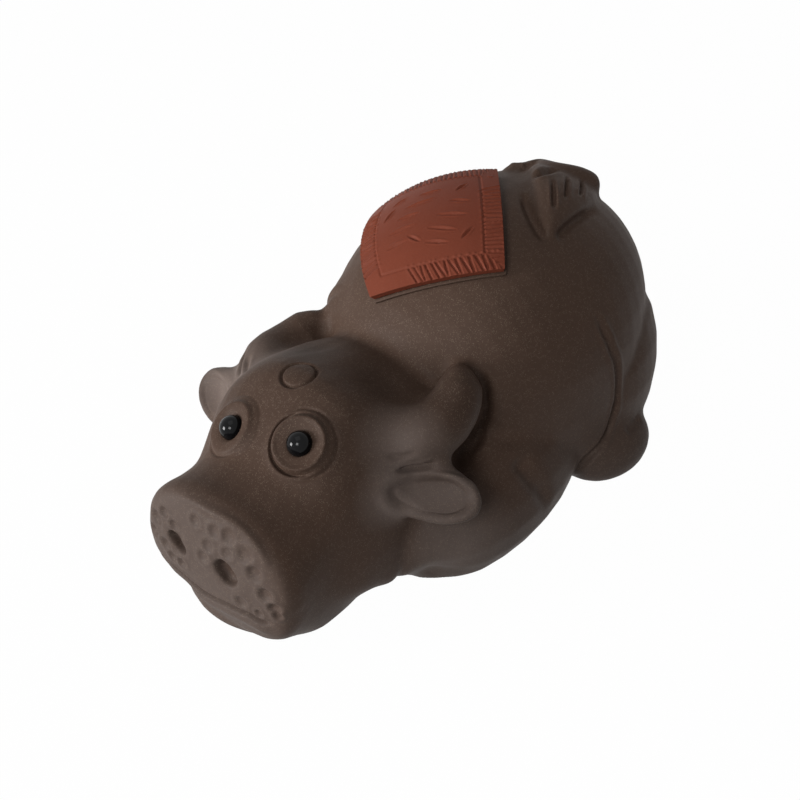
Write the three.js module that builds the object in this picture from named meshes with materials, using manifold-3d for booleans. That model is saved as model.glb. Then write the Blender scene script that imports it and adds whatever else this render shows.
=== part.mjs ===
// Tea pet: a resting ox in unglazed stoneware, with a red clay saddle blanket and glass bead eyes.
// Millimetres, +Z up. The ox faces -Y and its left side is +X. The origin is on the table, under the trunk.
import * as THREE from "three";
import { mergeVertices } from "three/addons/utils/BufferGeometryUtils.js";
import Module from "manifold-3d";

const wasm = await Module();
wasm.setup();

// Clay
const SLIP = 0.3; // joint left between two luted pieces
const WALL = 4.5; // wall of the hollow trunk and head

// Trunk: a hollow egg, flat underneath
const TRUNK_LENGTH = 72;
const TRUNK_WIDTH = 62;
const TRUNK_WAIST = 27; // height of the widest line above the table
const TRUNK_CROWN = 29.4; // from the widest line up to the back
const TRUNK_KEEL = 42; // from the widest line down to the keel, before the table cuts it
const TRUNK_FULLNESS = 2.12; // 2 is a plain egg, more is fuller at the shoulders and rump
const RUMP_TAPER = 0.2; // share by which the rump draws in behind the belly
const BACK_LEAN = 1.5; // how far the top of the back is pushed to the left

// Base: an oval slab that closes the hollow trunk, with a firing vent
const BASE_LENGTH = 44;
const BASE_WIDTH = 38;
const BASE_THICK = 5;
const VENT_WIDTH = 8;
const VENT_BACK = 12; // centre of the vent behind the middle of the base
const NECK_VENT_WIDTH = 10; // passage between the two hollows

// Head, measured forward from the front of the trunk
const HEAD_AXIS = 24; // height of the line about which the head twists
const HEAD_TURN = 2.6; // degrees that the head is turned to its left
const BROW_TILT = 13; // degrees that the brow leans to the right
const BROW_REACH = 16; // how far along the head the lean fades out
const MUZZLE_TILT = -10; // degrees that the muzzle leans the other way
const MUZZLE_SHIFT = 3; // how far the muzzle is pushed to the left
const HEAD_SECTIONS = [
  { ahead: -14, top: 25, bottom: 23, half: 0.5 },
  { ahead: -10, top: 34, bottom: 8, half: 14 },
  { ahead: 1, top: 39, bottom: 3, half: 20.5 },
  { ahead: 10, top: 41.5, bottom: 2, half: 21.8 },
  { ahead: 19, top: 43.5, bottom: 2, half: 21.4 },
  { ahead: 27, top: 39.5, bottom: 2, half: 20 },
  { ahead: 35, top: 33.4, bottom: 2.5, half: 18.2 },
  { ahead: 41, top: 31.8, bottom: 3, half: 18.3 },
  { ahead: 46, top: 31.6, bottom: 3.4, half: 18.6 },
  { ahead: 48.6, top: 29.4, bottom: 6, half: 16.4 },
  { ahead: 50, top: 20.5, bottom: 12, half: 7.5 },
  { ahead: 50.3, top: 16.3, bottom: 15.7, half: 0.5 },
];
const HEAD_SQUARE = 2.3; // exponent of the upper half of the cross-section
const JOWL_SQUARE = 5; // exponent of the lower half at the cheeks, which stand nearly upright
const CHIN_SQUARE = 2.5; // and at the muzzle
const HEAD_HOLLOW_BACK = -12; // where the hollow opens towards the trunk
const FACE_WALL = 10; // the muzzle stays solid this far back

// Lower jaw: the lip under the muzzle
const JAW_AHEAD = 32;
const JAW_LENGTH = 33;
const JAW_WIDTH = 35.5;
const JAW_SHIFT = 1.5; // to the left, under the muzzle
const JAW_HEIGHT = 11;
const JAW_RISE = 4;

// Nostrils
const NOSTRIL_SPREAD = 13; // between centres
const NOSTRIL_RISE = 19.9;
const NOSTRIL_SHIFT = -2.2; // both sit to the right of the muzzle's middle
const NOSTRIL_AHEAD = 50;
const NOSTRIL_WIDTH = 3.6;
const NOSTRIL_HEIGHT = 5.4;
const NOSTRIL_DEPTH = 2.4;

// Eyes: a glass bead in a dished clay disc
const EYE_AHEAD = 29.4;
const EYE_AROUND = 63; // degrees up from the side of the head
const RIGHT_EYE_AHEAD = 1.6; // the right eye is set further forward than the left
const RIGHT_EYE_UP = 9; // and these degrees higher
const DISC_WIDTH = 12;
const DISC_THICK = 3.2;
const DISC_PROUD = 0.9;
const DISC_EDGE = 0.6; // roll of the disc's edge
const DISC_SHOULDER = 0.65; // height of the rolled edge over the skin
const DISH_WIDTH = 7.4;
const DISH_DEPTH = 0.7;
const DISH_SLOPE = 0.8; // width of the dish's sloping side
const BEAD_WIDTH = 5;
const BEAD_PROUD = 2.9; // from the skin of the head to the front of the bead

// Horns: tapered rolls that curl back against the shoulder
const HORN_ROOT_WIDTH = 13;
const HORN_TIP_WIDTH = 7;
const HORN_BLUNT = 1.9; // how late the roll closes at its tip
const HORN_PATH = [
  { out: 5, ahead: 22, rise: 31 },
  { out: 15, ahead: 14, rise: 31.5 },
  { out: 20.5, ahead: 6.5, rise: 33 },
  { out: 20.8, ahead: 0, rise: 36.8 },
  { out: 18.2, ahead: -4.2, rise: 42 },
];
const RIGHT_HORN_DROP = 8.5; // the tip of the right horn lies lower than the left one
const RIGHT_HORN_BACK = 3; // and further back, on the shoulder
const RIGHT_HORN_OUT = 2.5; // and further out

// Ears: leaves with a dished face
const EAR_LENGTH = 23.5;
const EAR_WIDTH = 11.8;
const EAR_THICK = 5.8;
const EAR_DISH = 1.9;
const EAR_DISH_WIDTH = 9.4;
const EAR_DISH_FROM = 6; // from the root of the ear
const EAR_DISH_TO = 22.4;
const EAR_ROOT = { out: 13, ahead: 17, rise: 25.3 };
const EAR_POINTS = { out: 1, ahead: -0.3, rise: -0.17 };
const RIGHT_EAR_AHEAD = 3; // the right ear is set further forward than the left
const RIGHT_EAR_LIFT = 4; // and higher
const EAR_FACES = { out: 0.45, ahead: 0.62, rise: 0.64 };

// Forelegs: folded under the cheeks
const FORELEG_LENGTH = 55;
const FORELEG_WIDTH = 26;
const FORELEG_HEIGHT = 30;
const FORELEG_RISE = 9;
const FORELEG_AHEAD = -10; // centre, forward of the front of the trunk
const FORELEG_OUT = 20.8;
const FORELEG_TURN = 3; // degrees that the front end is turned in

// Hind legs: haunch and foot
const HAUNCH_LENGTH = 36;
const HAUNCH_WIDTH = 25;
const HAUNCH_HEIGHT = 46;
const HAUNCH_RISE = 17;
const HAUNCH_BACK = 13.6; // centre, behind the middle of the trunk
const HAUNCH_INSET = 13.3; // centre, in from the side of the trunk
const HAUNCH_TURN = 20;
const FOOT_LENGTH = 22;
const FOOT_WIDTH = 17;
const FOOT_HEIGHT = 15;
const FOOT_RISE = 4;
const FOOT_BACK = 7;
const FOOT_INSET = 4.5;

// Tail: a cord up the rump that ends in a leaf-shaped tuft on the back
const TAIL_WIDTH = 6.6;
const TAIL_BLUNT = 1.8; // how late the cord closes at its ends
const TAIL_PATH = [
  { x: 0, y: 0.93, z: 0.36, lift: 0 },
  { x: -0.17, y: 0.82, z: 0.56, lift: 0.4 },
  { x: -0.22, y: 0.58, z: 0.78, lift: -0.2 },
  { x: -0.06, y: 0.53, z: 0.85, lift: 0.2 },
  { x: 0.08, y: 0.59, z: 0.8, lift: 1 },
  { x: 0.17, y: 0.67, z: 0.72, lift: 0.8 },
]; // directions from the middle of the trunk, and the height of the cord's axis over the skin
const TUFT_ROOT = { x: -0.05, y: 0.57, z: 0.74 };
const TUFT_TIP = { x: 0.37, y: 0.0, z: 0.9 };
const TUFT_LIFT = 1.1;
const TUFT_WIDTH = 17;
const TUFT_THICK = 4.2;
const TUFT_LEAD = 0.6; // 1 is widest halfway along, less is widest nearer the root
const TUFT_TAPER = 0.55; // share of its width that the tuft loses towards the tip

// Saddle blanket, laid corner to corner across the back, on a thin underlay
const BLANKET_LENGTH = 29;
const BLANKET_WIDTH = 31.7;
const BLANKET_THICK = 1.5;
const BLANKET_SKEW = 36; // degrees between the blanket's front side and the trunk's width
const BLANKET_SHEAR = -0.22; // the blanket is cut out of square by this slope
const BLANKET_LEAN = -14.8; // degrees that the blanket's middle lies to the right of the spine
const BLANKET_AHEAD = 21; // degrees that the blanket's middle lies ahead of the top of the back
const UNDERLAY_THICK = 0.6;
const UNDERLAY_MARGIN = 0.7; // how far the underlay shows past the blanket's edge

const TABLE = 200; // size of the block that stands for the table in the cuts
const WELD = 1e-3; // corners closer than this are one

const darkClay = new THREE.MeshStandardMaterial({ color: 0x4a3b33, roughness: 0.75, metalness: 0 });
const redClay = new THREE.MeshStandardMaterial({ color: 0x7a3d2c, roughness: 0.8, metalness: 0 });
const blackGlass = new THREE.MeshStandardMaterial({ color: 0x0b0b0c, roughness: 0.06, metalness: 0 });

const radians = THREE.MathUtils.degToRad;
const vector = (x, y, z) => new THREE.Vector3(x, y, z);
const signedPower = (value, power) => Math.sign(value) * Math.abs(value) ** power;

// Surfaces and solids

function welded(geometry) {
  geometry.deleteAttribute("normal");
  geometry.deleteAttribute("uv");
  return mergeVertices(geometry, WELD);
}

// Triangles turned to face outwards.
function facingOut(geometry) {
  const { position } = geometry.attributes;
  const { array } = geometry.index;
  const [a, b, c] = [vector(), vector(), vector()];
  let volume = 0;
  for (let i = 0; i < array.length; i += 3) {
    a.fromBufferAttribute(position, array[i]);
    b.fromBufferAttribute(position, array[i + 1]);
    c.fromBufferAttribute(position, array[i + 2]);
    volume += a.dot(b.cross(c));
  }
  if (volume > 0) return geometry;
  for (let i = 0; i < array.length; i += 3) {
    [array[i + 1], array[i + 2]] = [array[i + 2], array[i + 1]];
  }
  return geometry;
}

// A closed surface with a pole at each end: pointAt(along, around), both from 0 to 1.
function blob(columns, rows, pointAt) {
  const geometry = new THREE.SphereGeometry(1, columns, rows);
  const { position, uv } = geometry.attributes;
  for (let i = 0; i < position.count; i++) {
    const row = Math.round((1 - uv.getY(i)) * rows);
    const atPole = row === 0 || row === rows;
    const column = atPole ? 0 : Math.round(uv.getX(i) * columns) % columns;
    const point = pointAt(row / rows, column / columns);
    position.setXYZ(i, point.x, point.y, point.z);
  }
  return facingOut(welded(geometry));
}

// The same surface moved outwards by a distance.
function grown(geometry, distance) {
  const copy = geometry.clone();
  copy.computeVertexNormals();
  const { position, normal } = copy.attributes;
  const point = vector();
  const out = vector();
  for (let i = 0; i < position.count; i++) {
    point.fromBufferAttribute(position, i);
    out.fromBufferAttribute(normal, i);
    point.addScaledVector(out, distance);
    position.setXYZ(i, point.x, point.y, point.z);
  }
  copy.deleteAttribute("normal");
  return copy;
}

function solidOf(geometry) {
  const triVerts = new Uint32Array(geometry.index.array);
  const vertProperties = new Float32Array(geometry.attributes.position.array);
  return new wasm.Manifold(new wasm.Mesh({ numProp: 3, vertProperties, triVerts }));
}

function geometryOf(solid) {
  const { vertProperties, triVerts } = solid.getMesh();
  const geometry = new THREE.BufferGeometry();
  geometry.setAttribute("position", new THREE.BufferAttribute(vertProperties, 3));
  geometry.setIndex(new THREE.BufferAttribute(triVerts, 1));
  return withoutSlivers(mergeVertices(geometry, WELD));
}

// Triangles that shrank to a line when close corners were welded are left out.
function withoutSlivers(geometry) {
  const corners = geometry.index.array;
  const kept = [];
  for (let i = 0; i < corners.length; i += 3) {
    const [a, b, c] = corners.slice(i, i + 3);
    if (a !== b && b !== c && c !== a) kept.push(a, b, c);
  }
  geometry.setIndex(kept);
  return geometry;
}

// The largest body of a solid: what a cut leaves once its offcuts fall away.
function mainBody(solid) {
  return solid.decompose().reduce((a, b) => (b.volume() > a.volume() ? b : a));
}

const ox = new THREE.Group();
ox.name = "resting_ox";
const placed = [];

function addNode(name, solid, material) {
  const mesh = new THREE.Mesh(geometryOf(solid), material);
  mesh.name = name;
  ox.add(mesh);
}

// A piece shaped to the pieces that were there before it: each of them, with the slip, is cut from it.
function fitted(geometry) {
  const solid = placed.reduce((rest, cutter) => rest.subtract(cutter), solidOf(geometry));
  placed.push(solidOf(grown(geometry, SLIP)));
  return mainBody(solid);
}

// A tapered roll of clay along a path. sizeAt(t) gives its half width and half thickness,
// and the thickness is measured along the direction it faces.
function roll(path, columns, rows, sizeAt, facing) {
  return blob(columns, rows, (along, around) => {
    const t = (1 - Math.cos(along * Math.PI)) / 2;
    const tangent = path.getTangent(t);
    const side = vector().crossVectors(tangent, facing).normalize();
    const top = vector().crossVectors(side, tangent);
    const [halfWidth, halfThick] = along === 0 || along === 1 ? [0, 0] : sizeAt(t);
    const angle = around * 2 * Math.PI;
    return path
      .getPoint(t)
      .addScaledVector(side, halfWidth * Math.cos(angle))
      .addScaledVector(top, halfThick * Math.sin(angle));
  });
}

const oval = (t) => Math.sqrt(Math.max(0, 1 - (2 * t - 1) ** 2));

// An egg of a given length (Y), width (X) and height (Z), turned about Z and set on its centre.
function egg(columns, rows, width, length, height, turn, centre) {
  const shape = facingOut(welded(new THREE.SphereGeometry(0.5, columns, rows)));
  return shape.scale(width, length, height).rotateZ(radians(turn)).translate(centre.x, centre.y, centre.z);
}

// Trunk

const trunkFront = -TRUNK_LENGTH / 2;
const trunkSide = TRUNK_WIDTH / 2;

// The point of the trunk's skin in a direction from its middle, lifted off the skin by a distance.
function trunkPoint(direction, lift = 0, wall = 0) {
  const d = direction.clone().normalize();
  const power = (value) => Math.abs(value) ** TRUNK_FULLNESS;
  const reach = (power(d.x) + power(d.y) + power(d.z)) ** (-1 / TRUNK_FULLNESS);
  const radii = vector(
    trunkSide * (1 - RUMP_TAPER * Math.max(0, d.y) ** 2) - wall,
    TRUNK_LENGTH / 2 - wall,
    (d.z > 0 ? TRUNK_CROWN : TRUNK_KEEL) - wall,
  );
  const out = d.clone().divide(radii).normalize();
  const upward = Math.max(0, d.z);
  return d
    .multiplyScalar(reach)
    .multiply(radii)
    .add(vector(BACK_LEAN * upward, 0, TRUNK_WAIST))
    .addScaledVector(out, lift);
}

function trunkBlob(columns, rows, wall) {
  return blob(columns, rows, (along, around) => {
    const polar = along * Math.PI;
    const angle = around * 2 * Math.PI;
    const direction = vector(
      Math.sin(polar) * Math.cos(angle),
      -Math.cos(polar),
      Math.sin(polar) * Math.sin(angle),
    );
    return trunkPoint(direction, 0, wall);
  });
}

// Head

const headCurve = (key) =>
  new THREE.SplineCurve(HEAD_SECTIONS.map((section, i) => new THREE.Vector2(i, section[key])));
const headAhead = headCurve("ahead");
const headTop = headCurve("top");
const headBottom = headCurve("bottom");
const headHalf = headCurve("half");
const muzzleAhead = HEAD_SECTIONS.at(-1).ahead;

// 0 at the cheeks, 1 at the muzzle.
const headFront = (ahead) => THREE.MathUtils.smoothstep(ahead, muzzleAhead / 2, muzzleAhead);

// A point beside the head's own axis, carried round by the twist and the turn of the head.
function headPlace(out, ahead, rise, leaning = true) {
  const brow = Math.exp(-(((ahead - EYE_AHEAD) / BROW_REACH) ** 2));
  const front = headFront(ahead);
  const point = vector(out, 0, rise - HEAD_AXIS);
  if (leaning) {
    point.applyAxisAngle(vector(0, 1, 0), -radians(BROW_TILT * brow + MUZZLE_TILT * front));
    point.x += MUZZLE_SHIFT * front;
  }
  point.y = -ahead;
  point.applyAxisAngle(vector(0, 0, 1), radians(HEAD_TURN));
  return point.add(vector(0, trunkFront, HEAD_AXIS));
}

// The skin of the head at a place along it, and an angle up from its left side.
function headSkin(along, angle, wall = 0) {
  const half = Math.max(0.2, headHalf.getPoint(along).y - wall);
  const top = headTop.getPoint(along).y;
  const bottom = headBottom.getPoint(along).y;
  const high = Math.max(0.2, (top - bottom) / 2 - wall);
  const ahead = headAhead.getPoint(along).y;
  const lowSquare = THREE.MathUtils.lerp(JOWL_SQUARE, CHIN_SQUARE, headFront(ahead));
  const square = Math.sin(angle) > 0 ? HEAD_SQUARE : lowSquare;
  const out = half * signedPower(Math.cos(angle), 2 / square);
  const rise = (top + bottom) / 2 + high * signedPower(Math.sin(angle), 2 / square);
  return headPlace(out, ahead, rise);
}

function headBlob(columns, rows, wall, from, to) {
  return blob(columns, rows, (along, around) => {
    const share = THREE.MathUtils.lerp(from, to, along);
    return headSkin(share, around * 2 * Math.PI, wall);
  });
}

// The share of the head's sections that lies a given distance ahead.
function headShare(ahead) {
  let low = 0;
  let high = 1;
  for (let step = 0; step < 30; step++) {
    const middle = (low + high) / 2;
    if (headAhead.getPoint(middle).y < ahead) low = middle;
    else high = middle;
  }
  return low;
}

// A frame on the head's skin: origin on the skin, Z outwards.
function headSeat(ahead, angle) {
  const share = headShare(ahead);
  const origin = headSkin(share, angle);
  const along = headSkin(share + 0.01, angle).sub(headSkin(share - 0.01, angle));
  const around = headSkin(share, angle + 0.05).sub(headSkin(share, angle - 0.05));
  const out = vector().crossVectors(along, around).normalize();
  if (out.dot(origin.clone().sub(headPlace(0, ahead, HEAD_AXIS))) < 0) out.negate();
  const turn = new THREE.Quaternion().setFromUnitVectors(vector(0, 0, 1), out);
  return new THREE.Matrix4().compose(origin, turn, vector(1, 1, 1));
}

const tableBlock = welded(new THREE.BoxGeometry(TABLE, TABLE, TABLE).translate(0, 0, -TABLE / 2));
placed.push(solidOf(tableBlock));

const SIDES = [
  { name: "left", sign: 1 },
  { name: "right", sign: -1 },
];

// Eyes
for (const { name, sign } of SIDES) {
  const seat =
    sign > 0
      ? headSeat(EYE_AHEAD, radians(EYE_AROUND))
      : headSeat(EYE_AHEAD + RIGHT_EYE_AHEAD, radians(180 - EYE_AROUND - RIGHT_EYE_UP));
  const bead = welded(new THREE.SphereGeometry(BEAD_WIDTH / 2, 16, 10));
  bead.translate(0, 0, BEAD_PROUD - BEAD_WIDTH / 2).applyMatrix4(seat);
  addNode(`eye_bead_${name}`, fitted(facingOut(bead)), blackGlass);
  const brim = DISC_WIDTH / 2;
  const dish = DISH_WIDTH / 2;
  const profile = [
    new THREE.Vector2(0, DISC_PROUD - DISC_THICK),
    new THREE.Vector2(brim - DISC_EDGE, DISC_PROUD - DISC_THICK),
    new THREE.Vector2(brim, 0),
    new THREE.Vector2(brim - DISC_EDGE, DISC_SHOULDER),
    new THREE.Vector2((brim + dish) / 2, DISC_PROUD),
    new THREE.Vector2(dish, DISC_PROUD),
    new THREE.Vector2(dish - DISH_SLOPE, DISC_PROUD - DISH_DEPTH),
    new THREE.Vector2(0, DISC_PROUD - DISH_DEPTH),
  ];
  const disc = welded(new THREE.LatheGeometry(profile, 18));
  disc.rotateX(Math.PI / 2).applyMatrix4(seat);
  addNode(`eye_disc_${name}`, fitted(facingOut(disc)), darkClay);
}

// Hollow trunk and the slab under it
const rod = (width, length, facets) =>
  facingOut(welded(new THREE.CylinderGeometry(width / 2, width / 2, length, facets)));
const baseOval = (height, rim) =>
  rod(1, height, 40)
    .rotateX(Math.PI / 2)
    .scale(BASE_WIDTH + 2 * rim, BASE_LENGTH + 2 * rim, 1)
    .translate(0, 0, height / 2);
const vent = rod(VENT_WIDTH, TABLE, 24).rotateX(Math.PI / 2).translate(0, VENT_BACK, 0);
const neckVent = rod(NECK_VENT_WIDTH, TABLE / 2, 16).translate(0, -TABLE / 4, HEAD_AXIS);
const trunkHollow = solidOf(trunkBlob(20, 14, WALL));
const trunkSolid = fitted(trunkBlob(38, 24, 0));
const trunkShell = trunkSolid
  .subtract(trunkHollow)
  .subtract(solidOf(baseOval(BASE_THICK * 2, SLIP)))
  .subtract(solidOf(neckVent));
addNode("trunk_shell", trunkShell, darkClay);
addNode("base_slab", solidOf(baseOval(BASE_THICK, 0)).subtract(solidOf(vent)), darkClay);

// Hollow head
const headSolid = fitted(headBlob(28, 34, 0, 0, 1));
const hollowFrom = headShare(HEAD_HOLLOW_BACK);
const hollowTo = headShare(muzzleAhead - FACE_WALL);
const headHollow = solidOf(headBlob(14, 10, WALL, hollowFrom, hollowTo));
const nostrils = SIDES.map(({ sign }) => {
  const centre = headPlace(NOSTRIL_SHIFT + (sign * NOSTRIL_SPREAD) / 2, NOSTRIL_AHEAD, NOSTRIL_RISE);
  return solidOf(egg(12, 8, NOSTRIL_WIDTH, NOSTRIL_DEPTH * 2, NOSTRIL_HEIGHT, HEAD_TURN, centre));
});
const headShell = nostrils.reduce((rest, pit) => rest.subtract(pit), headSolid.subtract(headHollow));
addNode("head_shell", headShell, darkClay);

// Lower jaw
const jawCentre = headPlace(JAW_SHIFT, JAW_AHEAD, JAW_RISE, false);
const jawEgg = egg(20, 12, JAW_WIDTH, JAW_LENGTH, JAW_HEIGHT, HEAD_TURN, jawCentre);
addNode("lower_jaw", fitted(jawEgg), darkClay);

for (const { name, sign } of SIDES) {
  // Foreleg
  const foreleg = vector(sign * FORELEG_OUT, trunkFront - FORELEG_AHEAD, FORELEG_RISE);
  const turnIn = sign * FORELEG_TURN;
  const forelegEgg = egg(18, 14, FORELEG_WIDTH, FORELEG_LENGTH, FORELEG_HEIGHT, turnIn, foreleg);
  addNode(`foreleg_${name}`, fitted(forelegEgg), darkClay);

  // Hind leg
  const haunch = vector(sign * (trunkSide - HAUNCH_INSET), HAUNCH_BACK, HAUNCH_RISE);
  const haunchEgg = egg(20, 16, HAUNCH_WIDTH, HAUNCH_LENGTH, HAUNCH_HEIGHT, sign * HAUNCH_TURN, haunch);
  addNode(`hind_leg_${name}`, fitted(haunchEgg), darkClay);
  const foot = vector(sign * (trunkSide - FOOT_INSET), FOOT_BACK, FOOT_RISE);
  const footEgg = egg(18, 12, FOOT_WIDTH, FOOT_LENGTH, FOOT_HEIGHT, 0, foot);
  addNode(`hind_foot_${name}`, fitted(footEgg), darkClay);

  // Horn
  const drop = sign > 0 ? 0 : RIGHT_HORN_DROP;
  const back = sign > 0 ? 0 : RIGHT_HORN_BACK;
  const spread = sign > 0 ? 0 : RIGHT_HORN_OUT;
  const hornPath = new THREE.CatmullRomCurve3(
    HORN_PATH.map(({ out, ahead, rise }, i) => {
      const t = i / (HORN_PATH.length - 1);
      return headPlace(sign * (out + spread * Math.min(1, 2 * t)), ahead - back * t, rise - drop * t);
    }),
  );
  const hornSize = (t) => {
    const half = THREE.MathUtils.lerp(HORN_ROOT_WIDTH, HORN_TIP_WIDTH, t ** 2) / 2;
    const blunt = Math.min(1, oval(0.5 + t / 2) * HORN_BLUNT);
    return [half * blunt, half * blunt];
  };
  addNode(`horn_${name}`, fitted(roll(hornPath, 16, 16, hornSize, vector(0, 0, 1))), darkClay);

  // Ear
  const earAhead = EAR_ROOT.ahead + (sign > 0 ? 0 : RIGHT_EAR_AHEAD);
  const earRise = EAR_ROOT.rise + (sign > 0 ? 0 : RIGHT_EAR_LIFT);
  const root = headPlace(sign * EAR_ROOT.out, earAhead, earRise);
  const headWay = ({ out, ahead, rise }) =>
    headPlace(sign * (EAR_ROOT.out + out), earAhead + ahead, earRise + rise).sub(root).normalize();
  const pointing = headWay(EAR_POINTS);
  const facing = headWay(EAR_FACES);
  const earPath = new THREE.LineCurve3(root, root.clone().addScaledVector(pointing, EAR_LENGTH));
  const leaf = (t) => [(EAR_WIDTH / 2) * oval(t), (EAR_THICK / 2) * oval(t)];
  const ear = fitted(roll(earPath, 16, 12, leaf, facing));
  const faceAt = (distance) =>
    root.clone().addScaledVector(pointing, distance).addScaledVector(facing, EAR_THICK / 2);
  const dishPath = new THREE.LineCurve3(faceAt(EAR_DISH_FROM), faceAt(EAR_DISH_TO));
  const dishSize = (t) => [(EAR_DISH_WIDTH / 2) * oval(t), EAR_DISH * oval(t)];
  addNode(`ear_${name}`, ear.subtract(solidOf(roll(dishPath, 12, 8, dishSize, facing))), darkClay);
}

// Tail
const tailPath = new THREE.CatmullRomCurve3(
  TAIL_PATH.map(({ x, y, z, lift }) => trunkPoint(vector(x, y, z), lift)),
);
const tailSize = (t) => {
  const half = (TAIL_WIDTH / 2) * Math.min(1, oval(t) * TAIL_BLUNT);
  return [half, half];
};
const tuftRoot = vector(TUFT_ROOT.x, TUFT_ROOT.y, TUFT_ROOT.z);
const tuftTip = vector(TUFT_TIP.x, TUFT_TIP.y, TUFT_TIP.z);
const tuftPath = new THREE.CatmullRomCurve3(
  [0, 0.5, 1].map((t) => trunkPoint(tuftRoot.clone().lerp(tuftTip, t), TUFT_LIFT)),
);
const tuftSize = (t) => [
  (TUFT_WIDTH / 2) * oval(t ** TUFT_LEAD) * (1 - TUFT_TAPER * t),
  (TUFT_THICK / 2) * oval(t),
];
const loopTop = TAIL_PATH[2];
const cord = roll(tailPath, 12, 20, tailSize, vector(loopTop.x, loopTop.y, loopTop.z).normalize());
const tuft = roll(tuftPath, 14, 12, tuftSize, tuftRoot.clone().add(tuftTip).normalize());
const tail = placed.reduce((rest, cutter) => rest.subtract(cutter), solidOf(cord).add(solidOf(tuft)));
addNode("tail", mainBody(tail), darkClay);

// Saddle blanket
const blanketNormal = vector(
  Math.sin(radians(BLANKET_LEAN)),
  -Math.sin(radians(BLANKET_AHEAD)),
  Math.cos(radians(BLANKET_AHEAD)),
).normalize();
const blanketSide = vector(Math.cos(radians(BLANKET_SKEW)), Math.sin(radians(BLANKET_SKEW)), 0);
blanketSide.addScaledVector(blanketNormal, -blanketSide.dot(blanketNormal)).normalize();
const blanketCross = vector().crossVectors(blanketNormal, blanketSide);
function backPatch(length, width, low, high) {
  const geometry = new THREE.BoxGeometry(1, 1, 1, 10, 9, 1);
  const { position } = geometry.attributes;
  for (let i = 0; i < position.count; i++) {
    const across = position.getY(i) * width;
    const along = position.getX(i) * length + BLANKET_SHEAR * across;
    const direction = blanketNormal
      .clone()
      .addScaledVector(blanketSide, along / trunkSide)
      .addScaledVector(blanketCross, across / trunkSide);
    const point = trunkPoint(direction, position.getZ(i) > 0 ? high : low);
    position.setXYZ(i, point.x, point.y, point.z);
  }
  return facingOut(welded(geometry));
}
const underlayTop = SLIP + UNDERLAY_THICK;
const underlay = backPatch(
  BLANKET_LENGTH + 2 * UNDERLAY_MARGIN,
  BLANKET_WIDTH + 2 * UNDERLAY_MARGIN,
  SLIP,
  underlayTop,
);
addNode("blanket_underlay", solidOf(underlay), darkClay);
const blanketLow = underlayTop + SLIP;
addNode(
  "saddle_blanket",
  solidOf(backPatch(BLANKET_LENGTH, BLANKET_WIDTH, blanketLow, blanketLow + BLANKET_THICK)),
  redClay,
);

export default ox;
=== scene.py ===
"""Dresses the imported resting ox, a hand-built clay tea pet, and sets it in a plain studio."""

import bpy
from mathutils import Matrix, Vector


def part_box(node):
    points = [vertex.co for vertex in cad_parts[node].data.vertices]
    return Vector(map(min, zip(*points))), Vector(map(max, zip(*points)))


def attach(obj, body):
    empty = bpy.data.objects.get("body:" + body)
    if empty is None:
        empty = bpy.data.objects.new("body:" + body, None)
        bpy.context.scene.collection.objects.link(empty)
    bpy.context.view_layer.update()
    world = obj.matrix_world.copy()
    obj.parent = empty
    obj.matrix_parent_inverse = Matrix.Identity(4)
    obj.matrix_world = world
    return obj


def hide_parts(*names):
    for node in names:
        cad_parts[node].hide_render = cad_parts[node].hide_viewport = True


bl_info = {
    "name": "Resting ox tea pet",
    "version": (1, 0, 0),
    "blender": (4, 5, 0),
    "location": "3D View > Sidebar > Ox",
    "description": "Kneads the clay of the packed ox together, models its details and lights it",
    "category": "Object",
}

import math

import bpy
import numpy as np
from mathutils import Vector

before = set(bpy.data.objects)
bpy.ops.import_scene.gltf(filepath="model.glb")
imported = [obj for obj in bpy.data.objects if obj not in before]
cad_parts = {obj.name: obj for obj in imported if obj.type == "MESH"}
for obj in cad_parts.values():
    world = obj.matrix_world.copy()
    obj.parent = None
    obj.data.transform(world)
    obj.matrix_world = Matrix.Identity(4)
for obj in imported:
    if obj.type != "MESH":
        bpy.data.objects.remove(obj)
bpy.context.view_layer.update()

MM = 0.001
BODY = "root"
SKIN = "clay_skin"
SIDES = ("left", "right")
# Factors that put a spot of the left side on each of the two sides
MIRRORS = (np.array((1, 1, 1)), np.array((-1, 1, 1)))
MERGE_GAP = 0.005 * MM
SHARP_ANGLE = math.radians(40)
BALL = {"segments": 48, "ring_count": 32}

# The pieces that the potter lutes into one body, in the order in which the skin is parted again
PARTED = (
    "eye_disc_left",
    "eye_disc_right",
    "horn_left",
    "horn_right",
    "ear_left",
    "ear_right",
    "tail",
    "hind_foot_left",
    "hind_foot_right",
    "foreleg_left",
    "foreleg_right",
    "hind_leg_left",
    "hind_leg_right",
    "lower_jaw",
)
LUTED = PARTED + ("trunk_shell", "head_shell")


# Settings


def a_length(name, description, millimetres):
    return bpy.props.FloatProperty(
        name=name,
        description=description,
        default=millimetres * MM,
        subtype="DISTANCE",
        unit="LENGTH",
    )


def a_colour(name, description, default):
    return bpy.props.FloatVectorProperty(
        name=name, description=description, default=default, subtype="COLOR", size=3
    )


def a_place(name, description, default):
    return bpy.props.FloatVectorProperty(
        name=name, description=description, default=default, subtype="TRANSLATION", size=3
    )


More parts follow.
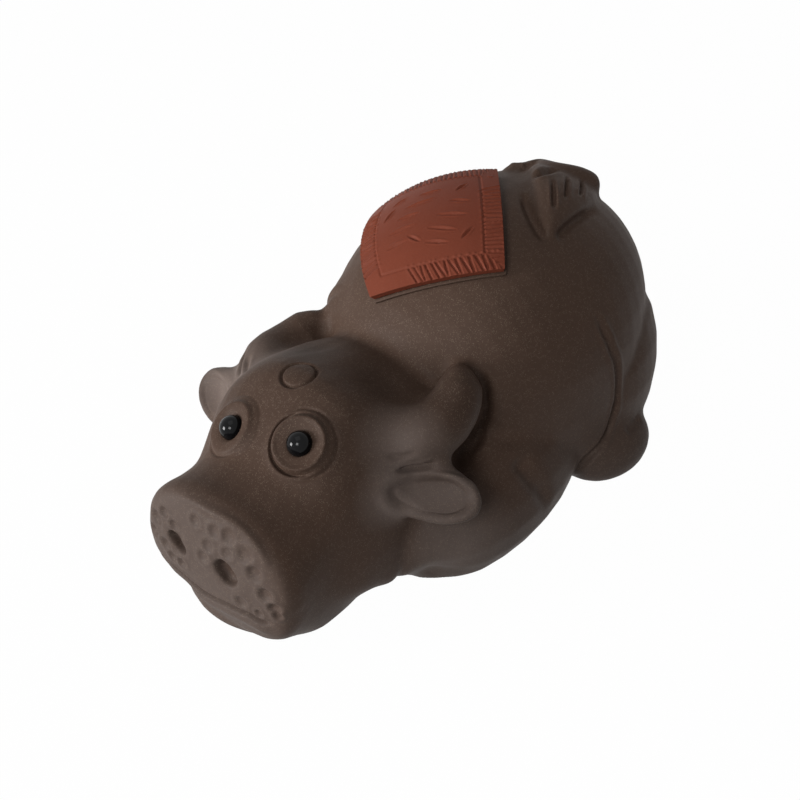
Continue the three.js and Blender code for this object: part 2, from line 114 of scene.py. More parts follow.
class OxClay(bpy.types.PropertyGroup):
    """How the clay is worked."""

    grain: a_length("Grain", "Spacing of the points on the clay skin", 0.42)
    slip: a_length("Slip", "Half of the joint that the slip fills between two pieces", 0.3)
    fillet: a_length("Fillet", "Radius to which the joints are smoothed", 1.6)
    wall: a_length("Wall", "Thickness of the hollow trunk's wall", 4.5)
    rubbing: bpy.props.IntProperty(
        name="Rubbing",
        description="Passes of the smoothing finger over the whole skin",
        default=14,
    )
    colour: a_colour("Clay colour", "Colour of the fired purple-brown clay", (0.047, 0.0285, 0.0205))
    # Painted light: the paler tone painted where light falls. It goes low down for light bounced from the
    # floor, as a painted sheen on the muzzle and in the ears, and on lit patches of the temples, cheeks and
    # forelegs.
    lit_clay_colour: a_colour(
        "Dry clay colour",
        "Colour of the same clay where no tea has stained it",
        (0.056, 0.0445, 0.0395),
    )


class OxBlanket(bpy.types.PropertyGroup):
    """The saddle blanket."""

    border: a_length("Border", "Width of the combed border", 3.8)
    comb: a_length("Comb", "Distance between two strokes in the border", 0.95)
    colour: a_colour("Blanket colour", "Colour of the fired red clay", (0.112, 0.027, 0.0145))


class OxStage(bpy.types.PropertyGroup):
    """Floor, lamps and camera."""

    lens: bpy.props.FloatProperty(
        name="Lens",
        description="Focal length of the camera in millimetres",
        default=83.8,
        subtype="DISTANCE_CAMERA",
    )
    camera_place: a_place("Camera place", "Where the camera stands", (0.2004, -0.2455, 0.2620))
    camera_aim: a_place("Camera aim", "The point in the middle of the picture", (0.0003, -0.0288, 0.0222))
    floor_colour: a_colour("Floor colour", "Colour of the plain floor", (0.7, 0.7, 0.7))


# Handling of pieces


def pick(piece):
    """Makes a piece the only one selected, and the active one."""
    bpy.ops.object.select_all(action="DESELECT")
    piece.select_set(True)
    bpy.context.view_layer.objects.active = piece


def modify(piece, kind, **settings):
    """Adds a modifier and applies it."""
    pick(piece)
    modifier = piece.modifiers.new(kind.title(), kind)
    for name, value in settings.items():
        setattr(modifier, name, value)
    bpy.ops.object.modifier_apply(modifier=modifier.name)


def edit(piece, *steps):
    """Runs edit-mode steps on the whole of a piece."""
    pick(piece)
    bpy.ops.object.mode_set(mode="EDIT")
    bpy.ops.mesh.select_all(action="SELECT")
    for step in steps:
        step()
    bpy.ops.object.mode_set(mode="OBJECT")


def new_piece(name, mesh):
    piece = bpy.data.objects.new(name, mesh)
    bpy.context.scene.collection.objects.link(piece)
    return piece


def copied(node, name):
    """A merged copy of a CAD node, free to be worked on."""
    piece = new_piece(name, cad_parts[node].data.copy())
    edit(piece, lambda: bpy.ops.mesh.remove_doubles(threshold=MERGE_GAP))
    return piece


def duplicate(piece, name):
    return new_piece(name, piece.data.copy())


def discard(*pieces):
    for piece in pieces:
        bpy.data.objects.remove(piece)


def hull(piece):
    """Closes the hollows of a piece."""
    edit(piece, bpy.ops.mesh.convex_hull)


def grow(piece, distance):
    modify(piece, "DISPLACE", strength=distance, mid_level=0.0)


def remesh(piece, grain):
    modify(piece, "REMESH", mode="VOXEL", voxel_size=grain, adaptivity=0.0)


def rub(piece, passes):
    modify(piece, "SMOOTH", factor=0.5, iterations=passes)


def cut(piece, cutter, operation):
    """Cuts a piece with another, and stops the script if that changes nothing or leaves nothing."""
    before = len(piece.data.polygons)
    modify(piece, "BOOLEAN", operation=operation, object=cutter, solver="MANIFOLD")
    if len(piece.data.polygons) in (0, before):
        raise RuntimeError(f"{cutter.name} does not cut {piece.name}")


def share_shading(piece, whole):
    """Gives a parted piece the shading of the whole skin, so that no seam shows."""
    modify(
        piece,
        "DATA_TRANSFER",
        object=whole,
        use_loop_data=True,
        data_types_loops={"CUSTOM_NORMAL"},
        loop_mapping="POLYINTERP_NEAREST",
    )


def keep_largest(piece):
    """Drops the loose crumbs of a cut."""
    name = piece.name
    edit(piece, lambda: bpy.ops.mesh.separate(type="LOOSE"))
    parts = list(bpy.context.selected_objects)
    parts.sort(key=lambda part: len(part.data.polygons))
    discard(*parts[:-1])
    parts[-1].name = name
    return parts[-1]


def finish_piece(piece, material, slot, *nodes):
    """Gives a piece its finish and lets it stand for its CAD nodes."""
    piece.data.materials.clear()
    piece.data.materials.append(material)
    pick(piece)
    bpy.ops.object.shade_smooth_by_angle(angle=SHARP_ANGLE)
    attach(piece, BODY)
    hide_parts(*nodes)


def finish_dark(piece, node):
    finish_piece(piece, dark_clay(), "dark_clay", node)


def node_points(node):
    """Corners of a CAD node in millimetres."""
    return np.array([corner.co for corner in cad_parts[node].data.vertices]) / MM


# The clay skin under the modelling tools

FINGER_PRESSURE = 0.6
FINGER_CORE = 0.3
REFINE_RUBS = 3
LINE_RUBS = 4
STROKE_REACH = 4
STROKE_LIP = (1.9, 0.8)
DENT_LIP = (1.5, 0.5)


class Skin:
    """Points of the clay skin in millimetres, and the way out of the clay at each."""

    def __init__(self, name=SKIN):
        self.mesh = bpy.data.objects[name].data
        count = len(self.mesh.vertices)
        points = np.empty(count * 3)
        self.mesh.vertices.foreach_get("co", points)
        self.points = points.reshape(count, 3) / MM
        out = np.empty(count * 3)
        self.mesh.vertex_normals.foreach_get("vector", out)
        self.out = out.reshape(count, 3)

    def nearest(self, spot):
        return int(np.argmin(((self.points - spot) ** 2).sum(1)))

    def gap(self, spot):
        """Distance of every point from a spot."""
        return np.sqrt(((self.points - spot) ** 2).sum(1))

    def about(self, middle, axis):
        """Offset of every point from a middle, its rise along an axis and its reach from that axis."""
        offset = self.points - middle
        rise = offset @ axis
        reach = np.sqrt(np.maximum((offset**2).sum(1) - rise**2, 0))
        return offset, rise, reach

    def rub(self, share, passes):
        """Smooths the skin with the finger, by a share at every point."""
        edges = np.empty(len(self.mesh.edges) * 2, np.int64)
        self.mesh.edges.foreach_get("vertices", edges)
        ends = np.concatenate([edges[0::2], edges[1::2]])
        others = np.concatenate([edges[1::2], edges[0::2]])
        close = share[ends] > 0
        ends, others = ends[close], others[close]
        count = len(self.points)
        neighbours = np.maximum(np.bincount(ends, minlength=count), 1)
        for _ in range(passes):
            for axis in range(3):
                level = self.points[:, axis]
                mean = np.bincount(ends, weights=level[others], minlength=count) / neighbours
                level += FINGER_PRESSURE * share * (mean - level)

    def rub_around(self, spot, radius, passes):
        """Smooths the skin around a spot, fading out at a radius."""
        self.rub(1 - smooth_step(self.gap(spot) / radius, FINGER_CORE, 1.0), passes)

    def lift(self, height, direction=None):
        """Moves every point outwards by its own height."""
        self.points += (self.out if direction is None else direction) * height[:, None]

    def settle(self):
        """Puts the points back, with nothing below the table."""
        self.points[:, 2] = np.maximum(self.points[:, 2], 0)
        self.mesh.vertices.foreach_set("co", (self.points * MM).ravel())
        self.mesh.update()


def smooth_step(value, low, high):
    share = np.clip((value - low) / (high - low), 0, 1)
    return share * share * (3 - 2 * share)


def bell(value, middle, width):
    """1 at a middle, falling off to both sides over a width."""
    return np.exp(-(((value - middle) / width) ** 2))


def refine(places):
    """Halves the grain of the skin around some places, each a spot and a radius in millimetres."""
    skin = bpy.data.objects[SKIN]
    faces = skin.data.polygons
    centres = np.empty(len(faces) * 3)
    faces.foreach_get("center", centres)
    centres = centres.reshape(-1, 3) / MM
    chosen = np.zeros(len(faces), bool)
    for spot, radius in places:
        chosen |= ((centres - spot) ** 2).sum(1) < radius**2
    pick(skin)
    bpy.ops.object.mode_set(mode="EDIT")
    bpy.ops.mesh.select_mode(type="FACE")
    bpy.ops.mesh.select_all(action="DESELECT")
    bpy.ops.object.mode_set(mode="OBJECT")
    faces.foreach_set("select", chosen)
    bpy.ops.object.mode_set(mode="EDIT")
    bpy.ops.mesh.subdivide(number_cuts=1)
    bpy.ops.object.mode_set(mode="OBJECT")
    worked = Skin()
    near = np.zeros(len(worked.points))
    for spot, radius in places:
        near = np.maximum(near, (worked.gap(spot) < radius).astype(float))
    worked.rub(near, REFINE_RUBS)
    worked.settle()


def curve_through(spots, steps=12):
    """A smooth line through a few spots."""
    spots = np.array(spots, float)
    ends = np.vstack([2 * spots[0] - spots[1], spots, 2 * spots[-1] - spots[-2]])
    line = []
    for a, b, c, d in zip(ends, ends[1:], ends[2:], ends[3:]):
        for t in np.linspace(0, 1, steps, endpoint=False):
            bend = (2 * a - 5 * b + 4 * c - d) * t**2
            twist = (3 * b - a - 3 * c + d) * t**3
            line.append(0.5 * (2 * b + (c - a) * t + bend + twist))
    line.append(spots[-1])
    return np.array(line)


def stroke(skin, spots, width, depth, lip=0.0, fade=0.2, flatness=2.0):
    """Draws a rounded tool along the skin: a groove of a half width and a depth, with raised lips."""
    line = curve_through(spots)
    line = np.array([skin.points[skin.nearest(spot)] for spot in line])
    for _ in range(LINE_RUBS):
        line[1:-1] = (line[:-2] + 2 * line[1:-1] + line[2:]) / 4
    low = line.min(0) - STROKE_REACH * width
    high = line.max(0) + STROKE_REACH * width
    close = np.all((skin.points > low) & (skin.points < high), axis=1).nonzero()[0]
    offsets = skin.points[close, None, :] - line[None, :, :]
    gaps = np.sqrt((offsets**2).sum(2))
    step = gaps.argmin(1)
    gap = gaps[np.arange(len(close)), step] / width
    along = step / (len(line) - 1)
    ease = smooth_step(np.minimum(along, 1 - along), 0, fade) if fade else 1.0
    height = np.zeros(len(skin.points))
    height[close] = (-depth * np.exp(-(gap**flatness)) + lip * bell(gap, *STROKE_LIP)) * ease
    skin.lift(height)


def dent(skin, spot, width, depth, lip=0.0, flatness=2.0):
    """Presses a round tool of a half width into the skin, or adds clay where the depth is below 0."""
    gap = skin.gap(skin.points[skin.nearest(spot)]) / width
    skin.lift(-depth * np.exp(-(gap**flatness)) + lip * bell(gap, *DENT_LIP))


# Shader nodes


class Socket:
    """A shader socket that can be used in sums."""

    def __init__(self, tree, source):
        self.tree = tree
        self.source = source

    def maths(self, operation, *values):
        node = self.tree.nodes.new("ShaderNodeMath")
        node.operation = operation
        for place, value in zip(node.inputs, values):
            plug(self.tree, place, value)
        return Socket(self.tree, node.outputs[0])

    def __add__(self, other):
        return self.maths("ADD", self, other)

    def __sub__(self, other):
        return self.maths("SUBTRACT", self, other)

    def __mul__(self, other):
        return self.maths("MULTIPLY", self, other)

    def __rsub__(self, other):
        return self.maths("SUBTRACT", other, self)

    def __gt__(self, other):
        return self.maths("GREATER_THAN", self, other)

    def larger(self, other):
        return self.maths("MAXIMUM", self, other)

    __radd__ = __add__
    __rmul__ = __mul__


def plug(tree, place, value):
    """Links a socket to a place, or sets a plain value there."""
    if isinstance(value, Socket):
        tree.links.new(value.source, place)
    else:
        place.default_value = value


def named(places, name):
    """The socket with an identifier, in which underscores may stand for spaces."""
    return next(place for place in places if name in (place.identifier, place.identifier.replace(" ", "_")))


class Finish:
    """The nodes of a material or of the world."""

    def __init__(self, owner, shader="Principled BSDF"):
        owner.use_nodes = True
        self.owner = owner
        self.tree = owner.node_tree
        self.shader = self.tree.nodes[shader]

    def node(self, kind, settings=None, output=None, **inputs):
        node = self.tree.nodes.new("ShaderNode" + kind)
        for name, value in (settings or {}).items():
            if name == "stops":
                for stop, (place, level) in zip(node.color_ramp.elements, value):
                    stop.position = place
                    stop.color = (level, level, level, 1)
            else:
                setattr(node, name, value)
        for name, value in inputs.items():
            plug(self.tree, named(node.inputs, name), value)
        return Socket(self.tree, named(node.outputs, output) if output else node.outputs[0])

    def set(self, **inputs):
        for name, value in inputs.items():
            plug(self.tree, named(self.shader.inputs, name), value)

    def place(self):
        return self.node("TexCoord", output="Object")

    def noise(self, scale, detail=2.0, roughness=0.5):
        return self.node("TexNoise", Vector=self.place(), Scale=scale, Detail=detail, Roughness=roughness)

    def grains(self, scale, share):
        """Scattered grains: 1 inside a grain, 0 elsewhere."""
        cell = self.node("TexVoronoi", output="Distance", Vector=self.place(), Scale=scale)
        edge = share * GRAIN_EDGE
        return self.node("ValToRGB", {"stops": [(share, 1.0), (edge, 0.0)]}, Fac=cell)

    def ramp(self, axis, start, stop):
        """Rises from 0 to 1 between two places on an axis, in millimetres."""
        level = self.node("SeparateXYZ", output=axis, Vector=self.place())
        return self.node("MapRange", Value=level, From_Min=start * MM, From_Max=stop * MM)

    def spot(self, middle, radius):
        """1 at a place in millimetres, fading to 0 at a radius."""
        size = radius * MM
        moved = self.node(
            "Mapping",
            Vector=self.place(),
            Location=tuple(-part * MM / size for part in middle),
            Scale=(1 / size,) * 3,
        )
        return self.node("TexGradient", {"gradient_type": "SPHERICAL"}, "Fac", Vector=moved)

    def spots(self, places):
        """The sum of some spots, each a place and a radius, on both sides of the ox."""
        total = 0.0
        for middle, radius in places:
            for sign in (1, -1):
                total = total + self.spot((sign * middle[0],) + middle[1:], radius)
        return total

    def mix(self, factor, first, second):
        return self.node(
            "Mix",
            {"data_type": "RGBA"},
            "Result_Color",
            Factor_Float=factor,
            A_Color=first,
            B_Color=second,
        )

    def bump(self, height, distance, strength):
        self.set(Normal=self.node("Bump", Height=height, Distance=distance, Strength=strength))

    def background_share(self):
        """1 for the rays that show the background, straight or in gloss and glass."""
        straight = self.node("LightPath", output="Is_Camera_Ray")
        glossy = self.node("LightPath", output="Is_Glossy_Ray")
        through = self.node("LightPath", output="Is_Transmission_Ray")
        return straight.larger(glossy.larger(through))


def shade(colour, factor):
    return tuple(channel * factor for channel in colour) + (1.0,)


# Finishes, with places in millimetres and noise in waves to the metre

WHITE = (1.0, 1.0, 1.0, 1.0)
CLOUDS = {"scale": 60.0, "detail": 3.0}
CLOUD_TONES = (0.8, 1.2)
DUST = {"scale": 2400.0, "detail": 3.0, "roughness": 0.7}
DUST_SHARE = 0.5
DUST_TONE = 1.6
SAND = (0.27, 0.21, 0.16, 1.0)
SAND_GRAINS = {"scale": 4800.0, "share": 0.22}
GRAIN_EDGE = 1.5
SAND_PATCHES = {"scale": 1500.0}
SAND_PATCH_LEVEL = 0.5
SANDY = {"dark": 0.3, "red": 0.06}
# Painted light: the clay is painted paler towards the bottom, for light bounced up from the floor.
LOW = ("Z", 18, 4)
LOW_BOUNCE_SHARE = 0.7
# Painted sheen: the front of the muzzle is painted paler, for the sheen of light on the pad and lip.
MUZZLE = ("Y", -81, -85)
MUZZLE_SHEEN_SHARE = 0.9
# Painted light: the faces of the ears are painted paler, for the light and sheen that fall in them.
EAR_SIDES = (("X", 23, 29), ("X", -23, -29))
EAR_FRONT = ("Y", -36, -43)
# Painted shade: the top of the head behind the brow is painted darker, for the little light that falls on
# it.
BROW_TOP = ("Z", 28, 36)
BROW_FRONT = ("Y", -44, -54)
BROW_SHADE = 0.6
# A real darker stain on the horns, and painted shade in the valley behind the crown, between head and
# trunk.
STAINS_AND_SHADES = (((22.4, -37.0, 40.0), 11.0), ((8.5, -43.5, 40.4), 10.0))
STAIN_AND_SHADE_SHARE = 1.4
STAIN_AND_SHADE_TONE = 0.55
# Painted light: paler patches on the temples, cheeks and forelegs, where light falls on the near side.
PAINTED_LIGHT_SPOTS = (
    ((21.0, -50.5, 36.2), 10.0),
    ((26.0, -51.5, 26.0), 9.0),
    ((21.5, -56.0, 27.0), 8.0),
    ((31.0, -44.0, 10.0), 14.0),
)
PAINTED_LIGHT_SPOT_SHARE = 1.1
PAINTED_LIGHT_SPOT_TONE = 2.1
# Painted shade: the insides of the nostrils are painted darker, for the shade in the pits.
NOSTRIL_SHADES = (((8.9, -84.8, 19.6), 3.4), ((-4.0, -85.6, 19.6), 2.6))
NOSTRIL_SHADE_SHARE = 1.2
NOSTRIL_SHADE_TONE = 0.5
ROUGHNESS = 0.62
CLOUD_GLOSS = 0.12
TOOTH = {"scale": 700.0}
TOOTH_SHARE = 0.6
TOOTH_BUMP = {"distance": 0.05 * MM, "strength": 0.6}


def clay_finish(name, colour, lit_colour, sandy):
    """Unglazed stoneware with sand, dust and clouded tone, and with painted light: paler low down for light
    bounced from the floor, a painted sheen on the muzzle and in the ears, and painted light patches on the
    temples, cheeks and forelegs. It also has painted shade on the top of the head, in the valley behind the
    crown and inside the nostrils, and a real darker stain on the horns.
    """
    known = bpy.data.materials.get(name)
    if known:
        return known
    finish = Finish(bpy.data.materials.new(name))
    clouds = finish.noise(**CLOUDS)
    dust = finish.noise(**DUST)
    tone = finish.mix(clouds, *(shade(colour, factor) for factor in CLOUD_TONES))
    # Painted light: paler towards the bottom for light bounced from the floor, and a painted sheen on the
    # front of the muzzle.
    painted_light_share = (LOW_BOUNCE_SHARE * finish.ramp(*LOW)).larger(MUZZLE_SHEEN_SHARE * finish.ramp(*MUZZLE))
    # Painted light and sheen in the ears.
    ears = finish.ramp(*EAR_SIDES[0]) + finish.ramp(*EAR_SIDES[1])
    tone = finish.mix(painted_light_share.larger(ears * finish.ramp(*EAR_FRONT)), tone, shade(lit_colour, 1.0))
    # Painted shade on the top of the head.
    brow = finish.ramp(*BROW_TOP) * finish.ramp(*BROW_FRONT)
    # Darker: painted shade on the head top and in the valley behind the crown, and a real stain on the
    # horns.
    stain_and_shade = BROW_SHADE * brow + STAIN_AND_SHADE_SHARE * finish.spots(STAINS_AND_SHADES)
    tone = finish.mix(stain_and_shade, tone, shade(colour, STAIN_AND_SHADE_TONE))
    # Painted light patches on the temples, cheeks and forelegs.
    tone = finish.mix(PAINTED_LIGHT_SPOT_SHARE * finish.spots(PAINTED_LIGHT_SPOTS), tone, shade(lit_colour, PAINTED_LIGHT_SPOT_TONE))
    # Painted shade inside the nostrils.
    for place in NOSTRIL_SHADES:
        tone = finish.mix(NOSTRIL_SHADE_SHARE * finish.spot(*place), tone, shade(colour, NOSTRIL_SHADE_TONE))
    tone = finish.mix(DUST_SHARE * dust, tone, shade(colour, DUST_TONE))
    sand = finish.grains(**SAND_GRAINS) * (finish.noise(**SAND_PATCHES) > SAND_PATCH_LEVEL)
    tone = finish.mix(sandy * sand, tone, SAND)
    finish.set(Base_Color=tone, Roughness=ROUGHNESS - CLOUD_GLOSS * clouds, Specular_IOR_Level=0.08)
    finish.bump(dust + TOOTH_SHARE * finish.noise(**TOOTH), **TOOTH_BUMP)
    return finish.owner


def dark_clay():
    clay = bpy.context.scene.ox_clay
    return clay_finish("dark_clay_finish", clay.colour, clay.lit_clay_colour, SANDY["dark"])


def red_clay():
    colour = bpy.context.scene.ox_blanket.colour
    return clay_finish("red_clay_finish", colour, colour, SANDY["red"])


def bead_glass():
    finish = Finish(bpy.data.materials.new("bead_glass_finish"))
    finish.set(Base_Color=(0.003, 0.003, 0.0035, 1), Roughness=0.08, Specular_IOR_Level=0.13)
    return finish.owner


# Body

JOINT_RUBS = 3


class OX_OT_knead_body(bpy.types.Operator):
    """Lutes copies of the clay pieces into one skin and smooths the joints"""

    bl_idname = "ox.knead_body"
    bl_label = "Knead body"

    def execute(self, context):
        clay = context.scene.ox_clay
        lumps = [copied(node, node + "_lump") for node in LUTED]
        for node, lump in zip(LUTED, lumps):
            if node == "trunk_shell":
                hull(lump)
            grow(lump, clay.slip)
        bpy.ops.object.select_all(action="DESELECT")
        for lump in lumps:
            lump.select_set(True)
        bpy.context.view_layer.objects.active = lumps[0]
        bpy.ops.object.join()
        skin = bpy.context.object
        skin.name = SKIN
        remesh(skin, clay.grain)
        grow(skin, clay.fillet)
        remesh(skin, clay.grain)
        rub(skin, JOINT_RUBS)
        grow(skin, -clay.fillet)
        remesh(skin, clay.grain)
        rub(skin, clay.rubbing)
        keep_largest(skin)
        Skin().settle()
        return {"FINISHED"}


# Horns and ears, with spots and sizes in millimetres

HORN_ROOT = (17.0, -52.0, 37.5)
HORN_RUB = {"radius": 9.0, "passes": 160}
HORN_BACK = (
    (18.6, -28.6, 40.2),
    (20.5, -26.9, 37.2),
    (21.5, -26.8, 32.7),
    (21.6, -27.2, 27.9),
    (21.5, -29.4, 24.6),
    (21.2, -33.2, 24.0),
)
HORN_GROOVE = {"width": 1.0, "lip": 0.15}
HORN_GROOVE_DEPTHS = (1.3, 0.4)
HORN_PIT = (22.0, -33.0, 23.8)
HORN_PRESS = {"width": 3.4, "depth": 1.8}
CROWN_PIT = (9.1, -42.0, 39.9)
CROWN_PRESS = {"width": 5.0, "depth": 1.0}
FAR_HORN_TOP = (-25.0, -36.4, 34.8)
FAR_HORN_PRESS = {"width": 6.0, "depth": 1.7}
FAR_SHOULDER = (-20.4, -26.5, 35.2)
FAR_SHOULDER_FILL = {"width": 4.5, "depth": -1.6}
CHEEK_WRINKLES = (
    ((19.5, -54.3, 34.8), (21.4, -51.6, 33.7), (23.6, -48.5, 34.2)),
    ((21.0, -53.6, 31.0), (23.0, -48.7, 30.3), (25.8, -45.2, 31.0)),
)
WRINKLE = {"width": 0.6, "lip": 0.15, "fade": 0.35}
WRINKLE_DEPTHS = (0.5, 1.0)
CHEEK_FILLS = (((23.0, -57.0, 6.0), 1.5), ((22.0, -64.0, 7.6), 1.1), ((22.8, -53.9, 6.4), 1.1))
CHEEK_FILL_WIDTH = 4.0
FORELEG_FRONT = (((27.0, -50.4, 4.0), 1.7), ((29.0, -47.2, 3.6), 1.1))
FORELEG_PRESS_WIDTH = 5.0
EAR_FINE = 11.0
EAR_RUB = {"radius": 6.0, "passes": 150}
EAR_FILL = {"width": 3.4, "depth": -1.3}
EAR_ROOT = (7.0, 1.9, 2.4)
EAR_DISH_SHIFT = (0.4, 1.2)
EAR_TURN = 0.2
EAR_DEPTHS = (1.4, 0.6)
EAR_FACING = (0.0, 0.5)
EAR_REACH = 2
EAR_HALF_LENGTH = 8.8
EAR_HALF_WIDTH = 4.3
EAR_WALL = (0.72, 1.0)
EAR_RIM = (1.1, 0.12)
EAR_RIM_SHARE = 0.3
EAR_THICKNESS = 3


class OX_OT_horns_ears(bpy.types.Operator):
    """Blends the horns and cheeks into the body and dishes the ears"""

    bl_idname = "ox.horns_ears"
    bl_label = "Horns and ears"

    def execute(self, context):
        ears = [ear_frame(side) for side in SIDES]
        refine([(middle, EAR_FINE) for middle, *_ in ears])
        skin = Skin()
        for mirror in MIRRORS:
            skin.rub_around(mirror * HORN_ROOT, **HORN_RUB)
        for *_, root in ears:
            skin.rub_around(root, **EAR_RUB)
        skin.settle()
        skin = Skin()
        for mirror, groove_depth in zip(MIRRORS, HORN_GROOVE_DEPTHS):
            for spot, rise in CHEEK_FILLS:
                dent(skin, mirror * spot, CHEEK_FILL_WIDTH, -rise)
            for spot, depth in FORELEG_FRONT:
                dent(skin, mirror * spot, FORELEG_PRESS_WIDTH, depth)
            stroke(skin, mirror * HORN_BACK, depth=groove_depth, **HORN_GROOVE)
            dent(skin, mirror * HORN_PIT, **HORN_PRESS)
            dent(skin, mirror * CROWN_PIT, **CROWN_PRESS)
            for wrinkle, depth in zip(CHEEK_WRINKLES, WRINKLE_DEPTHS):
                stroke(skin, mirror * wrinkle, depth=depth, **WRINKLE)
        for *_, root in ears:
            dent(skin, root, **EAR_FILL)
        dent(skin, FAR_HORN_TOP, **FAR_HORN_PRESS)
        dent(skin, FAR_SHOULDER, **FAR_SHOULDER_FILL)
        skin.settle()
        skin = Skin()
        for (*ear, _), depth in zip(ears, EAR_DEPTHS):
            self.dish(skin, depth, *ear)
        skin.settle()
        return {"FINISHED"}

    def dish(self, skin, depth, middle, length, width, out):
        """Presses the face of an ear in, inside its rim."""
        offset = skin.points - middle
        along = (offset @ length) / EAR_HALF_LENGTH
        across = (offset @ width) / EAR_HALF_WIDTH
        reach = np.sqrt(along**2 + across**2)
        front = smooth_step(skin.out @ out, *EAR_FACING) * (offset @ out > -EAR_THICKNESS)
        height = (smooth_step(reach, *EAR_WALL) - 1) * depth
        height += EAR_RIM_SHARE * depth * bell(reach, *EAR_RIM)
        skin.lift(height * front * (reach < EAR_REACH))


def ear_frame(side):
    """Middle of an ear's dish, the ways along it, across it and out of it, and the ear's root."""
    points = node_points("ear_" + side)
    middle = points.mean(0)
    _, ways = np.linalg.eigh(np.cov((points - middle).T))
    out, width, length = ways.T
    if out[2] < 0:
        out = -out
    if length[0] * middle[0] < 0:
        length = -length
    if width[2] < 0:
        width = -width
    back, down, ahead = EAR_ROOT
    root = middle - back * length - down * width + ahead * out
    back, down = EAR_DISH_SHIFT
    middle = middle - back * length - down * width
    length, width = length + EAR_TURN * width, width - EAR_TURN * length
    return middle, length, width, out, root


# Legs, with spots and sizes in millimetres

FORELEG_CREASE = (
    (28.2, -25.2, 21.4),
    (29.9, -25.3, 19.8),
    (32.1, -24.0, 16.3),
    (33.2, -21.6, 12.0),
    (33.0, -20.0, 7.0),
)
FORELEG_GROOVE = {"width": 2.0, "depth": 1.5, "fade": 0.3}
THIGH_CREASE = (
    (27.4, -1.8, 43.0),
    (29.1, -0.9, 40.1),
    (30.7, 0.6, 34.6),
    (31.1, 2.8, 28.2),
    (30.6, 4.1, 19.5),
    (29.8, 3.2, 12.9),
    (29.4, -0.6, 9.2),
    (28.6, -4.4, 5.4),
    (27.7, -5.4, 2.2),
)
THIGH_GROOVE = {"width": 0.75, "depth": 0.8, "lip": 0.3}
FOOT_CREASE = ((32.0, 6.6, 9.4), (31.9, 9.9, 9.7), (30.7, 13.5, 9.3))
FOOT_GROOVE = {"width": 0.9, "depth": 0.6}
FOOT_JOINT = (29.4, -1.4, 10.4)
FOOT_FILL = {"width": 4.0, "depth": -1.3}


class OX_OT_legs(bpy.types.Operator):
    """Draws the creases of the folded legs"""

    bl_idname = "ox.legs"
    bl_label = "Legs"

    def execute(self, context):
        skin = Skin()
        for mirror in MIRRORS:
            dent(skin, mirror * FOOT_JOINT, **FOOT_FILL)
            skin.settle()
            skin = Skin()
            stroke(skin, mirror * FORELEG_CREASE, **FORELEG_GROOVE)
            stroke(skin, mirror * THIGH_CREASE, **THIGH_GROOVE)
            stroke(skin, mirror * FOOT_CREASE, **FOOT_GROOVE)
        skin.settle()
        return {"FINISHED"}


# Face, with spots and sizes in millimetres

PAD_MIDDLE = (4.8, -86.0, 20.8)
PAD_FINE = 21.0
PAD_RUB = {"radius": 15.0, "passes": 60}
PAD_RIM = (
    (-6.0, -84.6, 29.3),
    (-1.7, -84.4, 30.5),
    (5.0, -83.8, 30.9),
    (10.8, -83.0, 30.4),
    (15.3, -83.2, 28.4),
    (17.6, -83.5, 26.4),
    (19.8, -83.6, 22.8),
)
RIM_ROLL = {"width": 0.9, "depth": -0.4, "fade": 0.3}
NOSTRILS = (
    ((8.3, -85.6, 20.2), (8.9, -85.4, 19.6), (9.6, -85.6, 19.0)),
    ((-5.2, -86.0, 20.3), (-4.0, -86.0, 19.6), (-2.6, -86.4, 18.9)),
)
NOSTRIL_WIDTHS = (1.9, 1.1)
NOSTRIL_PIT = {"depth": 1.6, "lip": 0.1, "fade": 0, "flatness": 5}
# Places across and up the pad, half widths and depths
PAD_DENTS = (
    (1.0, 27.5, 1.1, 0.35),
    (5.8, 27.8, 1.2, 0.4),
    (9.3, 28.4, 1.3, 0.4),
    (13.6, 26.3, 1.5, 0.45),
    (4.5, 23.8, 1.2, 0.35),
    (3.6, 20.6, 1.2, 0.35),
    (9.4, 24.6, 1.1, 0.3),
    (-4.6, 23.4, 1.0, 0.4),
    (-7.4, 24.6, 1.1, 0.5),
    (-9.9, 21.7, 1.5, 0.7),
    (-11.0, 18.1, 1.2, 0.6),
    (-7.1, 17.1, 1.3, 0.6),
    (-5.5, 15.3, 1.1, 0.5),
    (-2.4, 15.3, 1.0, 0.4),
    (15.9, 23.3, 1.5, 0.7),
    (18.4, 19.3, 1.4, 0.7),
    (20.4, 16.7, 1.2, 0.7),
    (21.2, 14.9, 0.9, 0.5),
    (16.8, 13.8, 0.8, 0.35),
    (12.6, 14.8, 1.2, 0.35),
)
PAD_FACE = -85.2
DENT_RIM = {"lip": 0.12, "flatness": 4}
MOUTH = (
    (-11.5, -83.0, 12.0),
    (-6.0, -85.6, 11.6),
    (0.0, -86.0, 10.7),
    (4.0, -85.9, 10.6),
    (9.5, -85.9, 11.6),
    (13.7, -85.4, 12.1),
    (17.0, -84.7, 11.9),
    (19.6, -84.0, 12.2),
)
MOUTH_LINE = {"width": 0.5, "depth": 1.3, "lip": 0.15, "fade": 0.15}
LIP_DROP = (0, 0, 2.0)
LIP_ROLL = {"width": 1.5, "depth": -0.6}
FAR_LIP = ((-7.5, -83.6, 8.2), (-3.2, -84.6, 7.8))
FAR_LIP_PRESS = {"width": 2.6, "depth": 1.1}
JAW_SIDES = ((21.5, -80.5, 9.5), (20.6, -76.0, 7.0), (-12.0, -77.0, 8.0))
JAW_RUB = {"radius": 8.0, "passes": 400}
JAW_FILLS = ((20.8, -80.5, 8.6), (20.0, -77.5, 6.5), (19.2, -74.5, 4.8))
JAW_CLAY = {"width": 4.2, "depth": -0.9}
THROAT = ((20.3, -78.0, 7.0), (20.8, -66.5, 6.0))
THROAT_RUB = {"radius": 7.0, "passes": 150}
